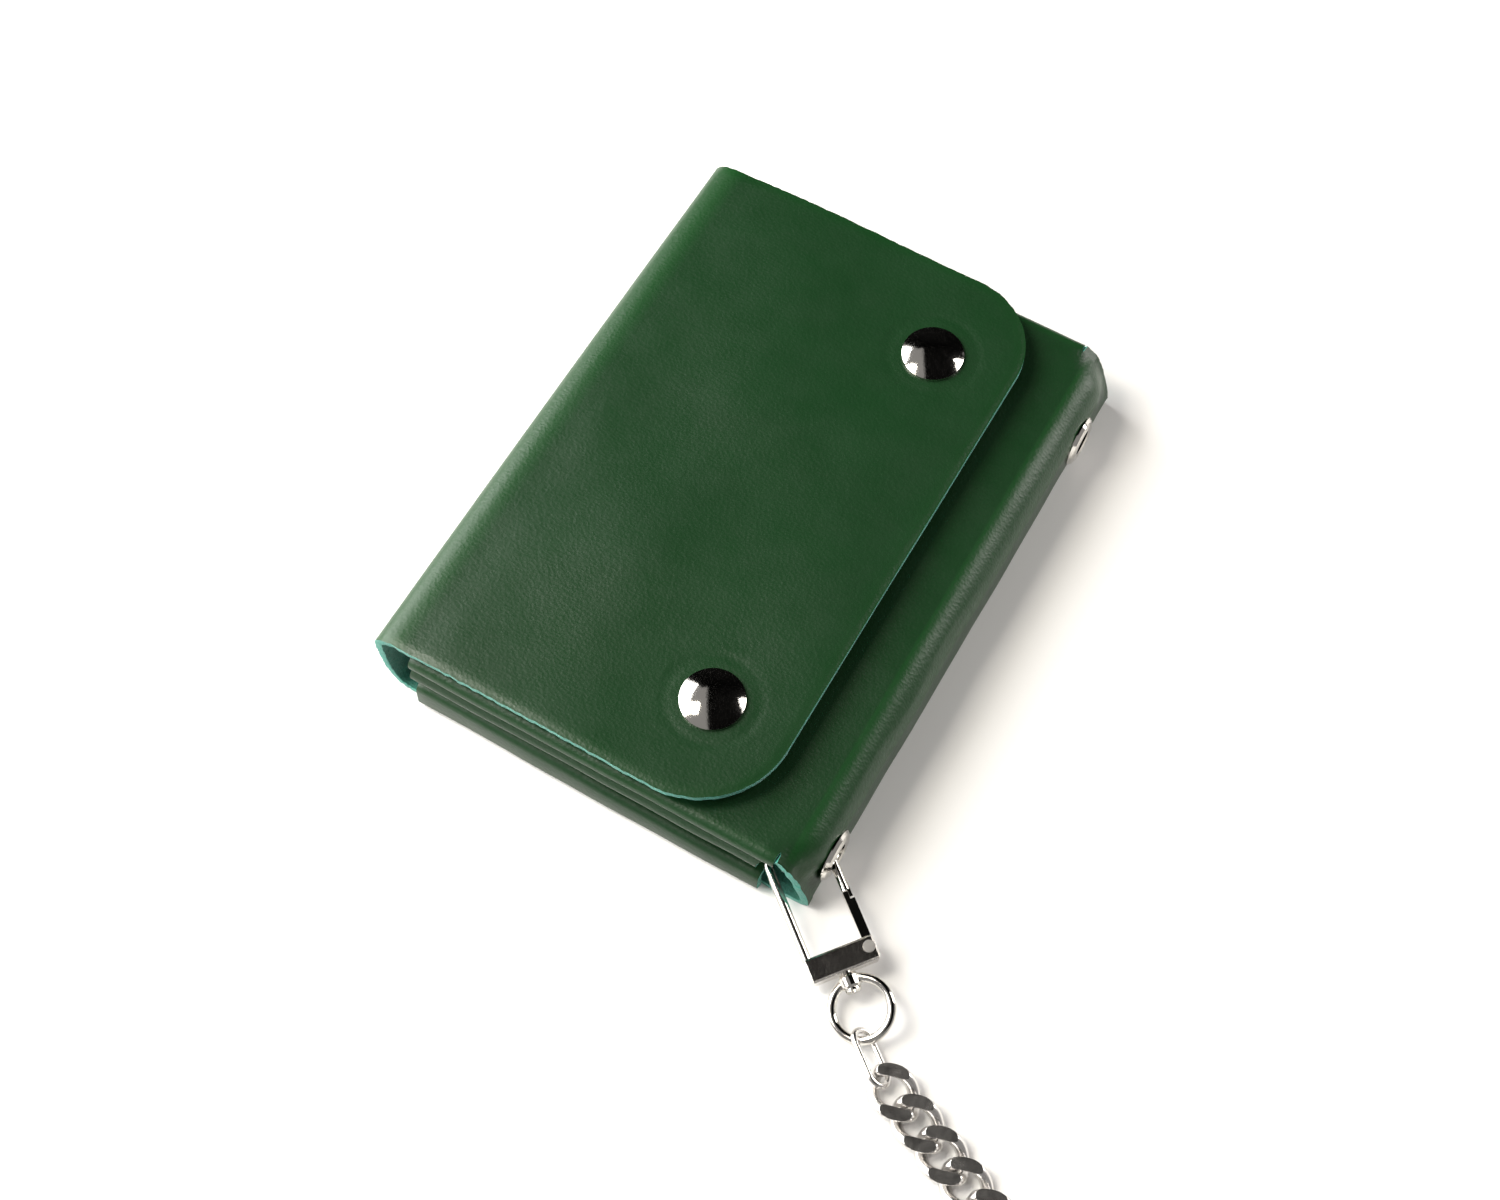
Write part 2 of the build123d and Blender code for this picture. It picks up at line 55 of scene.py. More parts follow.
def smooth(value, low, high):
    """0 below low, 1 above high, and an even turn between them."""
    t = clamp((value - low) / (high - low), 0.0, 1.0)
    return t * t * (3 - 2 * t)


# ---------------------------------------------------------------- camera

CAM_AZIMUTH, CAM_ELEVATION, CAM_ROLL = math.radians(30.74), math.radians(63.85), math.radians(-0.74)
CAM_TARGET, CAM_DISTANCE, CAM_LENS = Vector((0.0087, -0.0163, 0.008)), 0.3937, 50.4

back = Vector((
    math.sin(CAM_AZIMUTH) * math.cos(CAM_ELEVATION),
    -math.cos(CAM_AZIMUTH) * math.cos(CAM_ELEVATION),
    math.sin(CAM_ELEVATION),
))
level_right = Vector((math.cos(CAM_AZIMUTH), math.sin(CAM_AZIMUTH), 0))
level_up = back.cross(level_right)
cam_right = level_right * math.cos(CAM_ROLL) + level_up * math.sin(CAM_ROLL)
cam_up = level_up * math.cos(CAM_ROLL) - level_right * math.sin(CAM_ROLL)
camera = bpy.data.objects.new("camera", bpy.data.cameras.new("camera"))
camera.data.lens = CAM_LENS
camera.data.sensor_width = 36
camera.data.clip_start = 0.01
camera.matrix_world = Matrix.Translation(CAM_TARGET + back * CAM_DISTANCE) @ Matrix(
    (cam_right, cam_up, back)
).transposed().to_4x4()
scene.collection.objects.link(camera)
scene.camera = camera
scene.render.resolution_x = 1500
scene.render.resolution_y = 1200

# ---------------------------------------------------------------- materials


class Nodes:
    """A shorthand for building a material's node tree."""

    def __init__(self, name):
        self.material = bpy.data.materials.new(name)
        self.material.use_nodes = True
        self.tree = self.material.node_tree
        self.tree.nodes.clear()
        self.out = self.tree.nodes.new("ShaderNodeOutputMaterial")
        self.shader = self.tree.nodes.new("ShaderNodeBsdfPrincipled")
        self.link(self.shader.outputs[0], self.out.inputs["Surface"])
        self.place = self.tree.nodes.new("ShaderNodeTexCoord").outputs["Object"]

    def link(self, source, target):
        self.tree.links.new(source, target)

    def put(self, value, socket):
        if isinstance(value, bpy.types.NodeSocket):
            self.link(value, socket)
        else:
            socket.default_value = value

    def set(self, **values):
        for name, value in values.items():
            self.put(value, self.shader.inputs[name.replace("_", " ")])

    def noise(self, scale, detail=4.0, rough=0.55, distortion=0.0, stretch=None):
        node = self.tree.nodes.new("ShaderNodeTexNoise")
        node.inputs["Scale"].default_value = scale
        node.inputs["Detail"].default_value = detail
        node.inputs["Roughness"].default_value = rough
        node.inputs["Distortion"].default_value = distortion
        self.link(self.stretched(stretch), node.inputs["Vector"])
        return node.outputs["Fac"]

    def cells(self, scale, stretch=None):
        node = self.tree.nodes.new("ShaderNodeTexVoronoi")
        node.inputs["Scale"].default_value = scale
        self.link(self.stretched(stretch), node.inputs["Vector"])
        return node.outputs["Distance"]

    def stretched(self, stretch):
        if stretch is None:
            return self.place
        node = self.tree.nodes.new("ShaderNodeMapping")
        node.inputs["Scale"].default_value = stretch
        self.link(self.place, node.inputs["Vector"])
        return node.outputs[0]

    def span(self, value, low, high, to_low=0.0, to_high=1.0):
        node = self.tree.nodes.new("ShaderNodeMapRange")
        self.link(value, node.inputs["Value"])
        for socket, number in zip(("From Min", "From Max", "To Min", "To Max"), (low, high, to_low, to_high)):
            node.inputs[socket].default_value = number
        return node.outputs[0]

    def mix(self, share, a, b):
        node = self.tree.nodes.new("ShaderNodeMix")
        node.data_type = "RGBA"
        self.put(share, node.inputs[0])
        self.put(a, node.inputs[6])
        self.put(b, node.inputs[7])
        return node.outputs[2]

    def attribute(self, name):
        node = self.tree.nodes.new("ShaderNodeAttribute")
        node.attribute_name = name
        return node.outputs["Fac"]

    def bump(self, *layers):
        """Layers of height and depth in metres, one on another."""
        normal = None
        for height, depth in layers:
            node = self.tree.nodes.new("ShaderNodeBump")
            node.inputs["Distance"].default_value = depth
            node.inputs["Strength"].default_value = 1.0
            self.link(height, node.inputs["Height"])
            if normal is not None:
                self.link(normal, node.inputs["Normal"])
            normal = node.outputs[0]
        self.link(normal, self.shader.inputs["Normal"])


def leather_material(name, dark, light, bend_tone_and_highlight):
    m = Nodes(name)
    cloud = m.noise(55, 5, 0.6, 0.6)
    fine = m.noise(900, 3, 0.6)
    body = m.mix(m.span(cloud, 0.2, 0.8), dark, light)
    body = m.mix(m.span(fine, 0.35, 0.75, 0.0, 0.35), body, light)
    # Lighter, more saturated green where the leather bends (pull-up), also used as painted highlight on the
    # side folds' ridges and along the flap's rolled cut edge.
    body = m.mix(m.attribute("bend_tone_and_highlight"), body, bend_tone_and_highlight)
    m.set(Base_Color=body)
    worn = m.noise(140, 4, 0.6)
    m.set(Roughness=m.span(worn, 0.3, 0.7, 0.35, 0.41))
    m.set(Specular_IOR_Level=0.4, Coat_Weight=0.03, Coat_Roughness=0.35)
    grain = m.cells(2600)
    pores = m.cells(1300, stretch=(1.0, 1.35, 1.0))
    creases = m.noise(420, 6, 0.62, 1.2, (1.0, 0.55, 1.0))
    m.bump((creases, 0.00004), (pores, 0.00003), (grain, 0.00001))
    return m.material


def suede_material(name, dark, light):
    m = Nodes(name)
    fibre = m.noise(2200, 5, 0.7, 1.4)
    cloud = m.noise(240, 4, 0.6)
    colour = m.mix(m.span(fibre, 0.35, 0.7), dark, light)
    m.set(Base_Color=m.mix(m.span(cloud, 0.3, 0.7, 0.0, 0.45), colour, dark))
    m.set(Roughness=m.span(fibre, 0.3, 0.7, 0.8, 0.98))
    m.set(Sheen_Weight=0.35, Specular_IOR_Level=0.2)
    m.bump((m.noise(900, 5, 0.7), 0.0004), (fibre, 0.0002))
    return m.material


def metal_material(name, colour, rough, scratches=0.00001, smudges=0.0):
    m = Nodes(name)
    wipe = m.noise(260, 5, 0.65, 0.8)
    fine = m.noise(1500, 4, 0.7)
    grey = tuple(c * 0.72 for c in colour[:3]) + (1.0,)
    m.set(Base_Color=m.mix(m.span(wipe, 0.45, 0.8, 0.0, smudges), colour, grey))
    m.set(Metallic=1.0)
    m.set(Roughness=m.span(wipe, 0.3, 0.75, rough * 0.85, rough * 1.25))
    m.bump((fine, scratches))
    return m.material


# The third green is the lighter bend tone, which also serves as painted highlight.
GREEN = leather_material(
    "green_leather", (0.0034, 0.026, 0.0058, 1), (0.0042, 0.0315, 0.0073, 1), (0.0055, 0.052, 0.0092, 1)
)
TEAL = suede_material("teal_flesh_side", (0.03, 0.16, 0.12, 1), (0.09, 0.34, 0.26, 1))
EDGE = suede_material("teal_cut_edge", (0.02, 0.24, 0.18, 1), (0.07, 0.44, 0.34, 1))
NICKEL = metal_material("nickel_plate", (0.72, 0.70, 0.66, 1), 0.07, 0.000012, 0.25)
CHAIN_NICKEL = metal_material("chain_nickel", (0.74, 0.72, 0.70, 1), 0.24, 0.000008, 0.1)
BLOCK_NICKEL = metal_material("block_nickel", (0.74, 0.71, 0.67, 1), 0.17, 0.00006, 0.8)
INNER_NICKEL = metal_material("inner_plate", (0.60, 0.58, 0.55, 1), 0.18, 0.00002, 0.3)
RIVET = metal_material("worn_rivet", (0.82, 0.80, 0.77, 1), 0.38, 0.00003, 0.3)
STEEL = metal_material("spring_wire", (0.50, 0.50, 0.50, 1), 0.22, 0.00002, 0.3)


def dress(node, material):
    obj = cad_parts[node]
    obj.data.materials.clear()
    obj.data.materials.append(material)
    return obj


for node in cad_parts:
    if node == "card_divider":
        dress(node, TEAL)
    elif node.endswith("spring") or node.endswith("spring_rings"):
        dress(node, STEEL)
    elif node.endswith("gate_rivet"):
        dress(node, RIVET)
    elif node.endswith("_block"):
        dress(node, BLOCK_NICKEL)
    elif node in ("snap_studs", "snap_sockets", "snap_stud_rivets", "eyelet_washers"):
        dress(node, INNER_NICKEL)
    elif "connector" in node:
        dress(node, CHAIN_NICKEL)
    else:
        dress(node, NICKEL)

# ---------------------------------------------------------------- chain

CURB_PITCH, CURB_WIRE = 6.57, 1.15
CURB_HALF_LENGTH, CURB_HALF_WIDTH, CURB_TWIST, CURB_HALF_THICK = 4.55, 3.5, math.radians(50), 1.6
LINKS = 41
CHAIN_LIFTS = (0.6, 0.35, 0.12)
CHAIN_START = Vector((75.64, -82.91, CURB_HALF_THICK))
CHAIN_HEADING = math.radians(-23)
CHAIN_ALONG = Vector((math.cos(CHAIN_HEADING), math.sin(CHAIN_HEADING), 0))
CHAIN_STRAIGHT, CHAIN_STRAIGHT_STOPS = 40.1, (14, 28)
# Each turn of the route: its radius, its degrees and the steps it is made in.
CHAIN_TURNS = ((46.0, 180.0, 6), (36.0, 150.0, 5))
LINK_CLEARANCE, LINK_WOBBLE = 0.04, 1.2


def chain_controls():
    """Control points of the route: a straight run, then a wide half turn and a tighter one."""
    points = [CHAIN_START.copy()]
    along = CHAIN_ALONG
    place = CHAIN_START + along * CHAIN_STRAIGHT
    points += [CHAIN_START + along * stop for stop in CHAIN_STRAIGHT_STOPS]
    for radius, turn, steps in CHAIN_TURNS:
        side = Vector((along.y, -along.x, 0))
        centre = place + side * radius
        step = math.radians(turn / steps)
        for k in range(steps):
            swing = Matrix.Rotation(-(k + 0.5) * step, 3, "Z")
            points.append(centre + swing @ (-side) * (radius / math.cos(step / 2)))
        turned = Matrix.Rotation(-math.radians(turn), 3, "Z")
        place = centre + turned @ (-side) * radius
        along = turned @ along
    points.append(place)
    return points


route_data = bpy.data.curves.new("chain_route", "CURVE")
route_data.dimensions = "3D"
route_data.resolution_u = 24
spline = route_data.splines.new("NURBS")
controls = chain_controls()
spline.points.add(len(controls) - 1)
for point, place in zip(spline.points, controls):
    point.co = (*(place * MM), 1.0)
spline.order_u = 3
spline.use_endpoint_u = True
route_object = bpy.data.objects.new("chain_route", route_data)
scene.collection.objects.link(route_object)
bpy.context.view_layer.update()
route_mesh = bpy.data.meshes.new_from_object(route_object)
route = [v.co.copy() / MM for v in route_mesh.vertices]
bpy.data.objects.remove(route_object)

distances = [0.0]
for a, b in zip(route, route[1:]):
    distances.append(distances[-1] + (b - a).length)


def on_route(distance):
    """The place and direction at a distance along the chain."""
    k = 1
    while k < len(route) - 1 and distances[k] < distance:
        k += 1
    a, b = route[k - 1], route[k]
    t = (distance - distances[k - 1]) / (distances[k] - distances[k - 1])
    return a.lerp(b, t), (b - a).normalized()


def curb_link_mesh():
    """One curb link: a wire bent to a twisted oval, ground flat above and below."""
    rings, around = 64, 14
    mesh = bmesh.new()
    loops = []
    centres = []
    for k in range(rings):
        t = 2 * math.pi * k / rings
        wide, lean = CURB_HALF_WIDTH * math.sin(t), -CURB_TWIST * math.cos(t)
        centres.append(Vector((CURB_HALF_LENGTH * math.cos(t), wide * math.cos(lean), wide * math.sin(lean))))
    for k in range(rings):
        along = (centres[(k + 1) % rings] - centres[k - 1]).normalized()
        outward = centres[k] - along * centres[k].dot(along)
        outward.normalize()
        third = along.cross(outward)
        loops.append([
            mesh.verts.new(centres[k] + CURB_WIRE * (outward * math.cos(a) + third * math.sin(a)))
            for a in (2 * math.pi * j / around for j in range(around))
        ])
    for k in range(rings):
        here, after = loops[k], loops[(k + 1) % rings]
        for j in range(around):
            mesh.faces.new((here[j], here[(j + 1) % around], after[(j + 1) % around], after[j]))
    bmesh.ops.recalc_face_normals(mesh, faces=mesh.faces)
    for face in mesh.faces:
        face.smooth = True
    for side in (-1, 1):
        cut = bmesh.ops.bisect_plane(
            mesh,
            geom=mesh.verts[:] + mesh.edges[:] + mesh.faces[:],
            plane_co=(0, 0, side * CURB_HALF_THICK),
            plane_no=(0, 0, side),
            clear_outer=True,
        )
        rim = [e for e in cut["geom_cut"] if isinstance(e, bmesh.types.BMEdge)]
        filled = bmesh.ops.edgeloop_fill(mesh, edges=rim)
        for face in filled["faces"]:
            face.smooth = False
    return mesh


def build_chain():
    link = curb_link_mesh()
    link_data = bpy.data.meshes.new("curb_link")
    link.to_mesh(link_data)
    link.free()
    joined = bmesh.new()
    for index in range(LINKS):
        place, along = on_route(index * CURB_PITCH)
        end = min(index, LINKS - 1 - index)
        lift = CHAIN_LIFTS[end] if end < len(CHAIN_LIFTS) else 0.0
        across = Vector((-along.y, along.x, 0))
        turn = Matrix((along, across, Vector((0, 0, 1)))).transposed().to_4x4()
        wobble = Matrix.Rotation(math.radians(rng.uniform(-LINK_WOBBLE, LINK_WOBBLE)), 4, "X")
        move = Matrix.Translation((place + Vector((0, 0, lift + LINK_CLEARANCE))) * MM)
        world = move @ turn @ wobble @ Matrix.Scale(MM, 4)
        link_data.transform(world)
        joined.from_mesh(link_data)
        link_data.transform(world.inverted())
    data = bpy.data.meshes.new("curb_chain")
    joined.to_mesh(data)
    joined.free()
    data.materials.append(CHAIN_NICKEL)
    obj = bpy.data.objects.new("curb_chain", data)
    scene.collection.objects.link(obj)
    return obj


chain = build_chain()
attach(chain, "chain")
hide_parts("chain_links_1", "chain_links_2", "chain_links_3", "chain_links_4")
chain_line = [CHAIN_START - CHAIN_ALONG * CURB_HALF_LENGTH]
chain_line += [on_route(k * CURB_PITCH)[0] for k in range(LINKS)]
last_place, last_along = on_route((LINKS - 1) * CURB_PITCH)
chain_line.append(last_place + last_along * CURB_HALF_LENGTH)

# ---------------------------------------------------------------- leather

# Millimetres: x runs across the wallet from its spine to its side wall, y along it and z up.
THICK, CUT_EDGE_ROUND = 1.5, 0.28
FRONT_Z, WALL_X, FLOOR_Z = 14.95, 45.75, 0.75
TOP_BEND, LOW_BEND = 5.0, 1.7
HALF_LENGTH, FLAT_HALF = 61.0, 59.0
FRONT_EDGE_X, BACK_EDGE_X, BACK_FOLD_START_X = -36.8, -38.0, -36.4
FRONT_CUT_X, BACK_CUT_X = 39.5, 36.9
BODY_ROWS, FLAP_ROWS = 80, 150
WALL_END = ((39.5, 15.1), (41.9, 13.2), (43.5, 9.8), (44.9, 5.1), (45.6, 2.0))
# The folded ends' outlines in y and z, and how round their corners are.
FRONT_FOLD = ((FLAT_HALF, FRONT_Z), (61.8, FRONT_Z), (59.6, 12.3), (62.1, 9.3), (56.6, 9.3))
FRONT_FOLD_RADII = (0.9, 1.2, 0.9)
BACK_FOLD = ((FLAT_HALF, FLOOR_Z), (62.0, FLOOR_Z), (61.5, 6.7), (57.6, 6.7))
BACK_FOLD_RADII = (1.3, 0.9)
EYELETS = ((-51.9, 6.6), (46.2, 6.6))
# Faces this near an eyelet's centre are cut out, and the hole's rim is then drawn to a circle.
HOLE_CUT, HOLE_RIM, HOLE_RADIUS, HOLE_WALL_X = 3.0, 4.8, 3.25, 44.5
SNAPS = ((15.8, 41.65), (15.8, -41.65))


def rounded_path(points, radii, step=0.35):
    """Points along a line of straight runs whose corners are rounded."""
    points = [Vector(p) for p in points]
    out = [points[0]]
    for k, radius in enumerate(radii, start=1):
        before = (points[k] - points[k - 1]).normalized()
        after = (points[k + 1] - points[k]).normalized()
        bend = before.angle(after)
        reach = radius * math.tan(bend / 2)
        start = points[k] - before * reach
        turn_left = before.x * after.y - before.y * after.x > 0
        side = Vector((-before.y, before.x)) * (1 if turn_left else -1)
        centre = start + side * radius
        run(out, start, 2.2)
        steps = max(4, int(radius * bend / step))
        for j in range(1, steps + 1):
            a = bend * j / steps * (1 if turn_left else -1)
            arm = start - centre
            swung = (arm.x * math.cos(a) - arm.y * math.sin(a), arm.x * math.sin(a) + arm.y * math.cos(a))
            out.append(centre + Vector(swung))
    run(out, points[-1], 2.2)
    return out


def run(out, end, step):
    """Adds evenly spaced points from the last one to an end point."""
    gap = end - out[-1]
    count = max(1, int(math.ceil(gap.length / step)))
    base = out[-1].copy()
    for j in range(1, count + 1):
        out.append(base + gap * j / count)


def thicken(name, mesh, materials):
    """Gives a sheet its thickness, half to each side, with softened cut edges, and returns the object."""
    data = bpy.data.meshes.new(name)
    mesh.to_mesh(data)
    mesh.free()
    rough = bpy.data.objects.new(name + "_sheet", data)
    for material in materials:
        data.materials.append(material)
    scene.collection.objects.link(rough)
    solid = rough.modifiers.new("thickness", "SOLIDIFY")
    solid.thickness = THICK * MM
    solid.offset = 0
    solid.use_even_offset = False
    solid.material_offset = 1
    solid.material_offset_rim = 2
    bevel = rough.modifiers.new("edges", "BEVEL")
    bevel.width = CUT_EDGE_ROUND * MM
    bevel.segments = 3
    bevel.limit_method = "ANGLE"
    bevel.angle_limit = math.radians(50)
    bpy.context.view_layer.update()
    evaluated = rough.evaluated_get(bpy.context.evaluated_depsgraph_get())
    final = bpy.data.meshes.new_from_object(evaluated)
    final.name = name
    bpy.data.objects.remove(rough)
    obj = bpy.data.objects.new(name, final)
    scene.collection.objects.link(obj)
    for polygon in final.polygons:
        polygon.use_smooth = True
    return obj


def waver(x, y, z, size, depth, seed=0.0):
    """A small soft unevenness of the leather, in millimetres."""
    return depth * noise.noise(Vector((x / size + seed, y / size - seed, z / size + 2 * seed)))


def along_line(line, share):
    """The point a share of the way along a line of straight runs."""
    gaps = [math.dist(a, b) for a, b in zip(line, line[1:])]
    left = share * sum(gaps)
    for a, b, gap in zip(line, line[1:], gaps):
        if left <= gap:
            return Vector(a).lerp(Vector(b), left / gap)
        left -= gap
    return Vector(line[-1])


def body_sheet():
    """The sheet from the front panel round the side wall to the back panel, with its folded ends."""
    profile = rounded_path(
        [(FRONT_EDGE_X, FRONT_Z), (WALL_X, FRONT_Z), (WALL_X, FLOOR_Z), (BACK_EDGE_X, FLOOR_Z)],
        [TOP_BEND, LOW_BEND],
        0.5,
    )
    # A column stands exactly at each cut, where the folds end and the wall runs on.
    cuts = []
    for cut_x, height in ((FRONT_CUT_X, FRONT_Z), (BACK_CUT_X, FLOOR_Z)):
        level = [k for k, p in enumerate(profile) if abs(p.y - height) < 0.05]
        nearest = min(level, key=lambda k: abs(profile[k].x - cut_x))
        profile[nearest].x = cut_x
        cuts.append(nearest)
    first_cut, second_cut = cuts
    rows = [-FLAT_HALF + 2 * FLAT_HALF * j / BODY_ROWS for j in range(BODY_ROWS + 1)]
    front_fold = rounded_path(FRONT_FOLD, FRONT_FOLD_RADII, 0.3)[1:]
    back_fold = rounded_path(BACK_FOLD, BACK_FOLD_RADII, 0.3)[1:]
    mesh = bmesh.new()
    bend_tone_and_highlight = mesh.verts.layers.float.new("bend_tone_and_highlight")

    def vertex(x, y, z, fold=0.0):
        v = mesh.verts.new(Vector((x, y, z)) * MM)
        v[bend_tone_and_highlight] = fold
        return v

    foot = max(k for k, p in enumerate(profile) if p.x > 41 and p.y > 2.3)
    walked = {first_cut: 0.0}
    for k in range(first_cut, foot):
        walked[k + 1] = walked[k] + (profile[k + 1] - profile[k]).length

    def panel_place(k, y):
        x, z = profile[k]
        if first_cut <= k <= foot:
            # Towards its two ends the wall leans over, from the front's last corner down to the foot.
            lean = along_line(WALL_END, walked[k] / walked[foot])
            share = smooth(abs(y), 53.5, 61)
            x += (lean.x - x) * share
            z += (lean.y - z) * share
        end = smooth(abs(y), 46, 61)
        if z > 12:
            z += waver(x, y, z, 17, 0.35) * (1 - 0.5 * end)
            z -= 0.45 * math.exp(-((x - 6) / 26) ** 2) * (1 - end)
        if x > 44 and z < 13:
            x += waver(x, y, z, 16, 0.3, 3.1)
        return x, z

    grid = []
    for k, point in enumerate(profile):
        turning = 1.0 if point.x > 41 and (point.y > 9 or point.y < 2.6) else 0.0
        column = []
        for y in rows:
            x, z = panel_place(k, y)
            column.append(vertex(x, y, z, 0.55 * turning))
        grid.append(column)
    for k in range(len(profile) - 1):
        for j in range(len(rows) - 1):
            mesh.faces.new((grid[k][j], grid[k + 1][j], grid[k + 1][j + 1], grid[k][j + 1]))

    for side in (-1, 1):
        edge = 0 if side < 0 else len(rows) - 1
        for columns, fold in (
            (range(0, first_cut + 1), front_fold),
            (range(second_cut, len(profile)), back_fold),
        ):
            previous = None
            columns = [k for k in columns if fold is front_fold or profile[k].x > BACK_FOLD_START_X]
            for k in columns:
                base = grid[k][edge]
                x = base.co.x / MM
                lift = base.co.z / MM - (FRONT_Z if fold is front_fold else FLOOR_Z)
                strip = [base]
                for j, (y, z) in enumerate(fold):
                    ease = clamp(1 - j / 8.0, 0, 1)
                    bulge = 0.25 * math.sin(math.pi * clamp((x + 38) / 77, 0, 1)) * smooth(y, 59.5, 62)
                    along = x
                    if fold is front_fold:
                        along -= 3.4 * smooth(14.8 - z, 0, 5) * clamp((x - 29) / 10.5, 0, 1)
                    else:
                        # The back's fold lies flatter towards the eyelets.
                        z = FLOOR_Z + (z - FLOOR_Z) * (1 - 0.3 * smooth(x, -34, 38))
                    uneven = waver(x, side * 9, z, 14, 0.3, 1.7 + side)
                    place = (along, side * (y + bulge + uneven * (1 - ease)), z + lift * ease)
                    # Painted highlight: thin lighter lines along the fold ridges, on top of the pull-up
                    # lightening at the bend.
                    ridge_highlight = math.exp(-((z - 14.6) / 1.2) ** 2)
                    ridge_highlight += math.exp(-((z - fold[-1].y) / 0.9) ** 2)
                    strip.append(vertex(*place, 0.35 * clamp(ridge_highlight, 0, 1)))
                if previous:
                    for a in range(len(strip) - 1):
                        quad = (previous[a], strip[a], strip[a + 1], previous[a + 1])
                        mesh.faces.new(quad if side > 0 else quad[::-1])
                previous = strip
        # The wall runs on to the full length, and its cut end spreads a little.
        previous = None
        for k in range(first_cut, second_cut + 1):
            base = grid[k][edge]
            strip = [base]
            for j in range(1, 5):
                y = FLAT_HALF + (HALF_LENGTH - FLAT_HALF) * j / 4
                x, z = panel_place(k, y)
                out = 0.25 * (j / 4) ** 2 * (1 if 2 < z < 13 else 0.3)
                ragged = waver(x * 3, y, z * 3, 2.0, 0.25, side) if j == 4 else 0.0
                strip.append(vertex(x + out, side * (y + ragged), z, 0.3))
            if previous:
                for a in range(len(strip) - 1):
                    quad = (previous[a], strip[a], strip[a + 1], previous[a + 1])
                    mesh.faces.new(quad if side > 0 else quad[::-1])
            previous = strip

    # Holes for the eyelets, out of sight under their rims.
    doomed = set()
    for face in mesh.faces:
        centre = face.calc_center_median() / MM
        if centre.x > HOLE_WALL_X:
            for y, z in EYELETS:
                if any(math.hypot(v.co.y / MM - y, v.co.z / MM - z) < HOLE_CUT for v in face.verts):
                    doomed.add(face)
    bmesh.ops.delete(mesh, geom=list(doomed), context="FACES")
    for v in mesh.verts:
        if v.co.x / MM > HOLE_WALL_X and v.is_boundary:
            for y, z in EYELETS:
                reach = Vector((v.co.y / MM - y, v.co.z / MM - z))
                if reach.length < HOLE_RIM:
                    reach = reach.normalized() * HOLE_RADIUS
                    v.co.y, v.co.z = (y + reach.x) * MM, (z + reach.y) * MM
    bmesh.ops.recalc_face_normals(mesh, faces=mesh.faces)
    middle = min(mesh.faces, key=lambda f: (f.calc_center_median() - Vector((0, 0, FRONT_Z * MM))).length)
    if middle.normal.z < 0:
        bmesh.ops.reverse_faces(mesh, faces=mesh.faces)
    return mesh


body = thicken("wallet_body_leather", body_sheet(), (GREEN, TEAL, EDGE))
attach(body, "wallet")
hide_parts("main_panel", "front_side_folds", "back_side_folds")

FLAP_Z, FLAP_RIGHT = 19.05, 32.0
FLAP_CORNER, FLAP_TOP_CORNER, CORNER_STEPS = 17.8, 15.6, 26
SPINE_CONTROLS = (
    (-37.4, FLOOR_Z), (-40.4, FLOOR_Z), (-42.7, 4.2), (-43.6, 11.5), (-43.3, 19.0), (-38.5, FLAP_Z)
)
SPINE_SEAM_Z, SPINE_BOW = 10.0, 0.9
# Round each snap the flap is held down, and a shallow ring is pressed into it.
FLAP_SWELL, SNAP_HELD, SNAP_FADE = 0.75, 5.5, 13
RING_RADIUS, RING_WIDTH, RING_DEPTH = 8.7, 0.4, 0.17
EDGE_ROLL, EDGE_ROLL_WIDTH = 0.22, 0.9


def spine_profile():
    """A smooth line up the spine, from its foot to where the flap lies flat."""
    points = [Vector(p) for p in SPINE_CONTROLS]
    out = [points[0]]
    for k in range(1, len(points) - 1):
        start = points[0] if k == 1 else (points[k - 1] + points[k]) / 2
        end = points[-1] if k == len(points) - 2 else (points[k] + points[k + 1]) / 2
        for j in range(1, 13):
            t = j / 12
            out.append(start * (1 - t) ** 2 + points[k] * 2 * t * (1 - t) + end * t * t)
    return out


def flap_lift(x, y):
    """How far the flap stands above its flat height: soft swells, held down by the two snaps."""
    hold = 1.0
    mark = 0.0
    for sx, sy in SNAPS:
        r = math.hypot(x - sx, y - sy)
        hold *= 1 - math.exp(-((max(r - SNAP_HELD, 0)) / SNAP_FADE) ** 2)
        mark -= RING_DEPTH * math.exp(-((r - RING_RADIUS) / RING_WIDTH) ** 2)
    swell = FLAP_SWELL * math.sin(math.pi * clamp((x + 42) / 76, 0, 1)) + waver(x, y, 0, 24, 0.5, 5.5)
    return swell * hold + mark


def corner_reach(x, radius):
    """How far the flap reaches along the wallet, at x, where its corner has this radius."""
    beyond = clamp(x - (FLAP_RIGHT - radius), 0, radius)
    return HALF_LENGTH - radius + math.sqrt(max(radius**2 - beyond**2, 0.0))


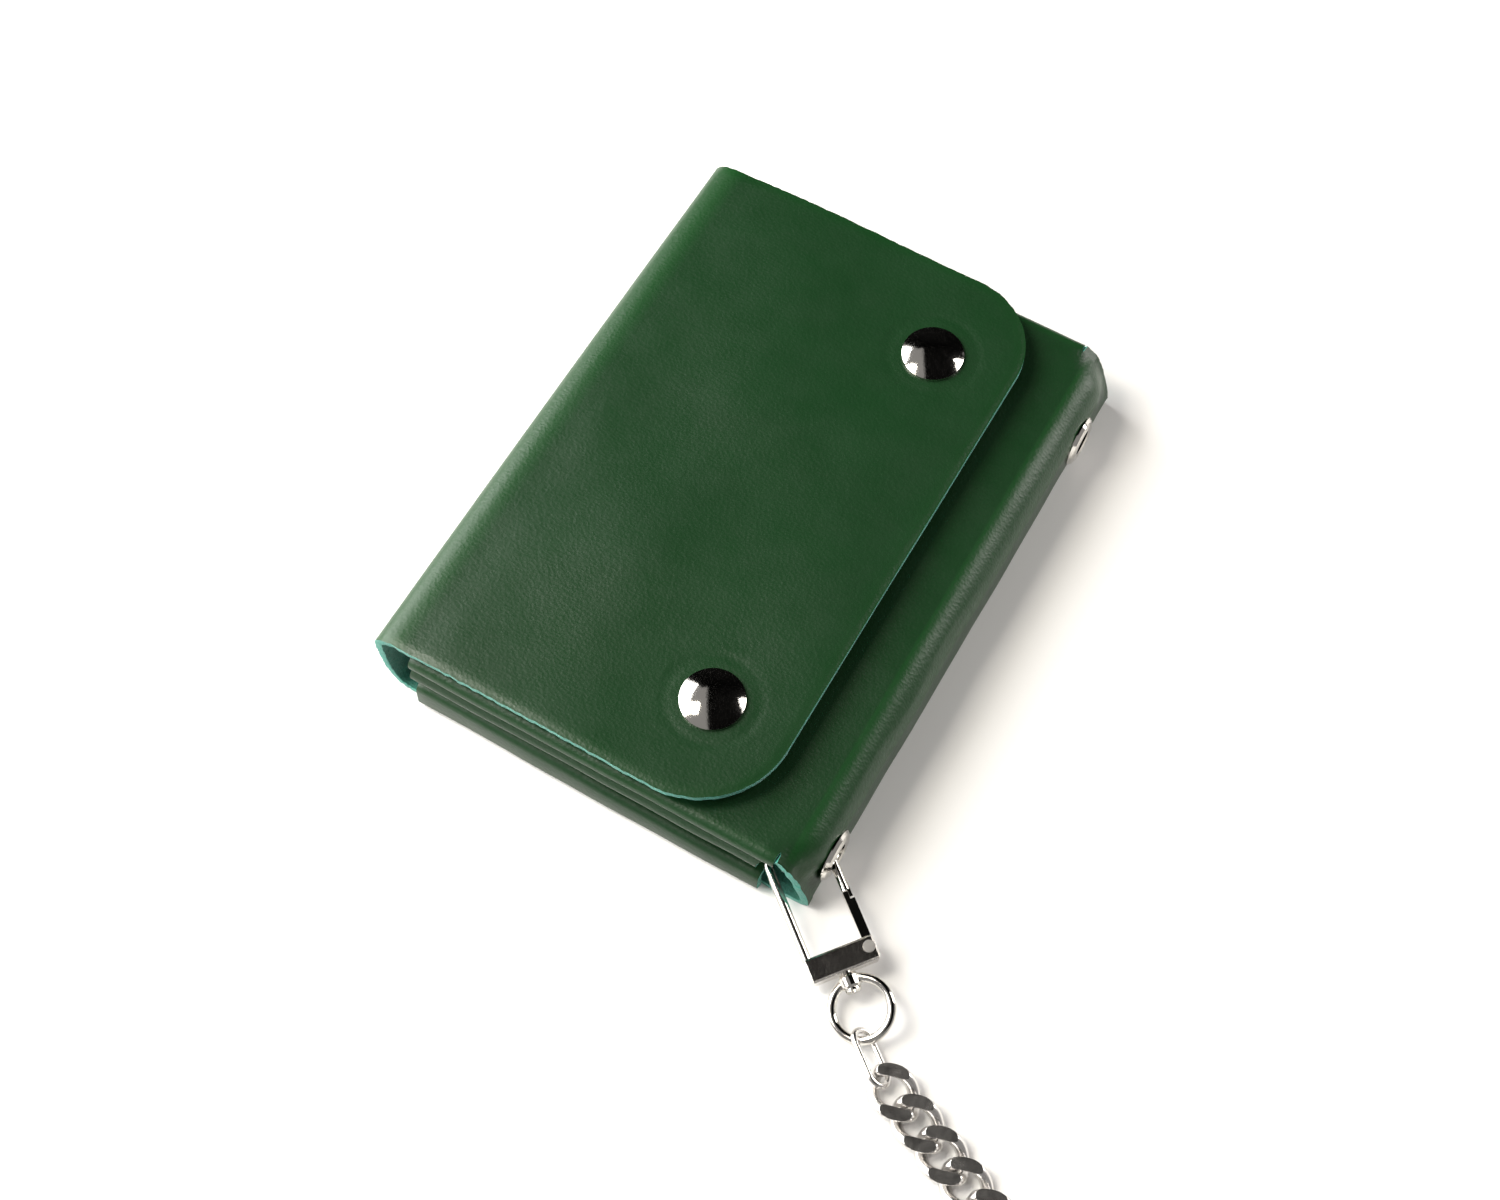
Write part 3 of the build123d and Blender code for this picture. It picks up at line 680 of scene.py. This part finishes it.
def flap_sheet(upper):
    """The spine's lower half, or its upper half with the flap, as a grid along the profile and the length."""
    profile = [(p.x, p.y) for p in spine_profile()]
    seam = min(range(len(profile)), key=lambda k: abs(profile[k][1] - SPINE_SEAM_Z))
    if not upper:
        profile = profile[: seam + 1]
    else:
        flat_start, flat_end = profile[-1][0], FLAP_RIGHT - FLAP_CORNER
        count = int(flat_end - flat_start)
        tail = [(flat_start + (flat_end - flat_start) * j / count, FLAP_Z) for j in range(1, count + 1)]
        for j in range(1, CORNER_STEPS + 1):
            tail.append((flat_end + FLAP_CORNER * math.sin(math.radians(90 * j / CORNER_STEPS)), FLAP_Z))
        profile = profile[seam:] + tail
    mesh = bmesh.new()
    bend_tone_and_highlight = mesh.verts.layers.float.new("bend_tone_and_highlight")
    grid = []
    for x, z in profile:
        on_flap = upper and z > 18
        corners = (FLAP_CORNER, FLAP_TOP_CORNER)
        reaches = [corner_reach(x, radius) if on_flap else HALF_LENGTH for radius in corners]
        column = []
        for j in range(FLAP_ROWS + 1):
            # Rows crowd towards the two ends, where the cut edge rolls over.
            t = 2 * j / FLAP_ROWS - 1
            t = math.copysign(1 - (1 - abs(t)) ** 1.25, t)
            reach, radius = (reaches[1], FLAP_TOP_CORNER) if t > 0 else (reaches[0], FLAP_CORNER)
            y = reach * t
            px, pz, fold = x, z, 0.0
            if z < 18.9 or x < -37:
                bow = 1 - (y / HALF_LENGTH) ** 2
                px -= SPINE_BOW * bow * math.sin(math.pi * clamp(z / FLAP_Z, 0, 1)) * smooth(19.2 - z, 0, 6)
                fold = 0.75 * smooth(-36 - x, 0, 4) * smooth(z, 6, 12)
            if upper and z > 17:
                pz += flap_lift(x, y) * smooth(x, -40, -30)
            beyond, corner = x - (FLAP_RIGHT - radius), abs(y) - (HALF_LENGTH - radius)
            if on_flap and beyond > 0 and corner > 0:
                edge = radius - math.hypot(beyond, corner)
            else:
                edge = min(HALF_LENGTH - abs(y), FLAP_RIGHT - x)
            pz -= EDGE_ROLL * math.exp(-((edge / EDGE_ROLL_WIDTH) ** 2)) if upper and z > 17 else 0.0
            if j in (0, FLAP_ROWS):
                y += waver(x * 3, y, z * 3, 1.6, 0.22, 9.0)
            v = mesh.verts.new(Vector((px, y, pz)) * MM)
            # Pull-up lightening where the spine bends, and a painted highlight in a band along the flap's
            # rolled cut edge.
            v[bend_tone_and_highlight] = clamp(fold + 0.35 * math.exp(-(edge / 1.6) ** 2), 0, 1)
            column.append(v)
        grid.append(column)
    for a, b in zip(grid, grid[1:]):
        for j in range(FLAP_ROWS):
            mesh.faces.new((a[j], a[j + 1], b[j + 1], b[j]))
    bmesh.ops.recalc_face_normals(mesh, faces=mesh.faces)
    probe = max(mesh.faces, key=lambda f: f.calc_center_median().z)
    if upper and probe.normal.z < 0 or not upper and probe.normal.x > 0:
        bmesh.ops.reverse_faces(mesh, faces=mesh.faces)
    return mesh


spine = thicken("spine_leather", flap_sheet(False), (GREEN, TEAL, EDGE))
flap = thicken("flap_leather", flap_sheet(True), (GREEN, TEAL, EDGE))
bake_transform(spine)
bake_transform(flap)
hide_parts("spine_panel")
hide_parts("flap_panel")

# ---------------------------------------------------------------- floor and light


image_left = -level_right
image_back = Vector((-back.x, -back.y, 0)).normalized()
up = Vector((0, 0, 1))


def spot(a, b, c):
    """A point by its distances to the image's left, to its back and up."""
    return image_left * a + image_back * b + up * c


def area_light(name, direction, distance, size, power, colour):
    """A light that faces the wallet, from a direction to the image's left, to its back and up."""
    place = CAM_TARGET + spot(*direction).normalized() * distance
    data = bpy.data.lights.new(name, "AREA")
    data.shape = "RECTANGLE"
    data.size, data.size_y = size
    data.energy = power
    data.color = colour
    obj = bpy.data.objects.new(name, data)
    obj.location = place
    obj.rotation_mode = "QUATERNION"
    obj.rotation_quaternion = (CAM_TARGET - place).to_track_quat("-Z", "Y")
    scene.collection.objects.link(obj)
    return obj


floor_data = bpy.data.meshes.new("floor")
floor_data.from_pydata([(-3, -3, 0), (3, -3, 0), (3, 3, 0), (-3, 3, 0)], [], [(0, 1, 2, 3)])
floor = bpy.data.objects.new("floor", floor_data)
paper = Nodes("white_paper")
paper.set(Base_Color=paper.mix(paper.noise(3, 2), (0.88, 0.87, 0.86, 1), (0.90, 0.90, 0.89, 1)))
paper.set(Roughness=0.9, Specular_IOR_Level=0.1)
floor_data.materials.append(paper.material)
scene.collection.objects.link(floor)

key = area_light("key", (0.82, 0.27, 0.47), 0.95, (1.25, 0.8), 24, (1.0, 0.99, 0.97))
sheen = area_light("sheen", (0.52, 0.1, 0.85), 0.9, (0.24, 0.3), 4.6, (1.0, 0.95, 0.85))
fill = area_light("fill", (-0.85, 0.25, 0.45), 1.0, (0.35, 0.8), 6.5, (1.0, 0.96, 0.93))
black = Nodes("black_cloth")
black.set(Base_Color=black.mix(black.noise(5, 2), (0.004, 0.004, 0.004, 1), (0.007, 0.007, 0.007, 1)))
black.set(Roughness=1.0, Specular_IOR_Level=0.0)


def card(name, corners):
    """A black cloth outside the view, which darkens what the leather and the metal reflect."""
    data = bpy.data.meshes.new(name)
    data.from_pydata([tuple(c) for c in corners], [], [(0, 1, 2, 3)])
    data.materials.append(black.material)
    obj = bpy.data.objects.new(name, data)
    scene.collection.objects.link(obj)
    return obj


canopy = card("canopy", [
    spot(0.25, -1.6, 1.7), spot(-1.5, -1.6, 1.4), spot(-1.5, 1.2, 1.1), spot(0.25, 1.2, 1.5)
])
backdrop = card("backdrop", [
    spot(0.9, 1.25, 0.02), spot(-1.6, 1.25, 0.02), spot(-1.5, 1.2, 1.2), spot(0.5, 1.2, 1.6)
])
world = bpy.data.worlds.new("world")
world.use_nodes = True
background = world.node_tree.nodes["Background"]
background.inputs["Color"].default_value = (1.0, 0.97, 0.95, 1)
background.inputs["Strength"].default_value = 0.3
scene.world = world
scene.view_settings.view_transform = "Standard"
scene.view_settings.exposure = 0.0
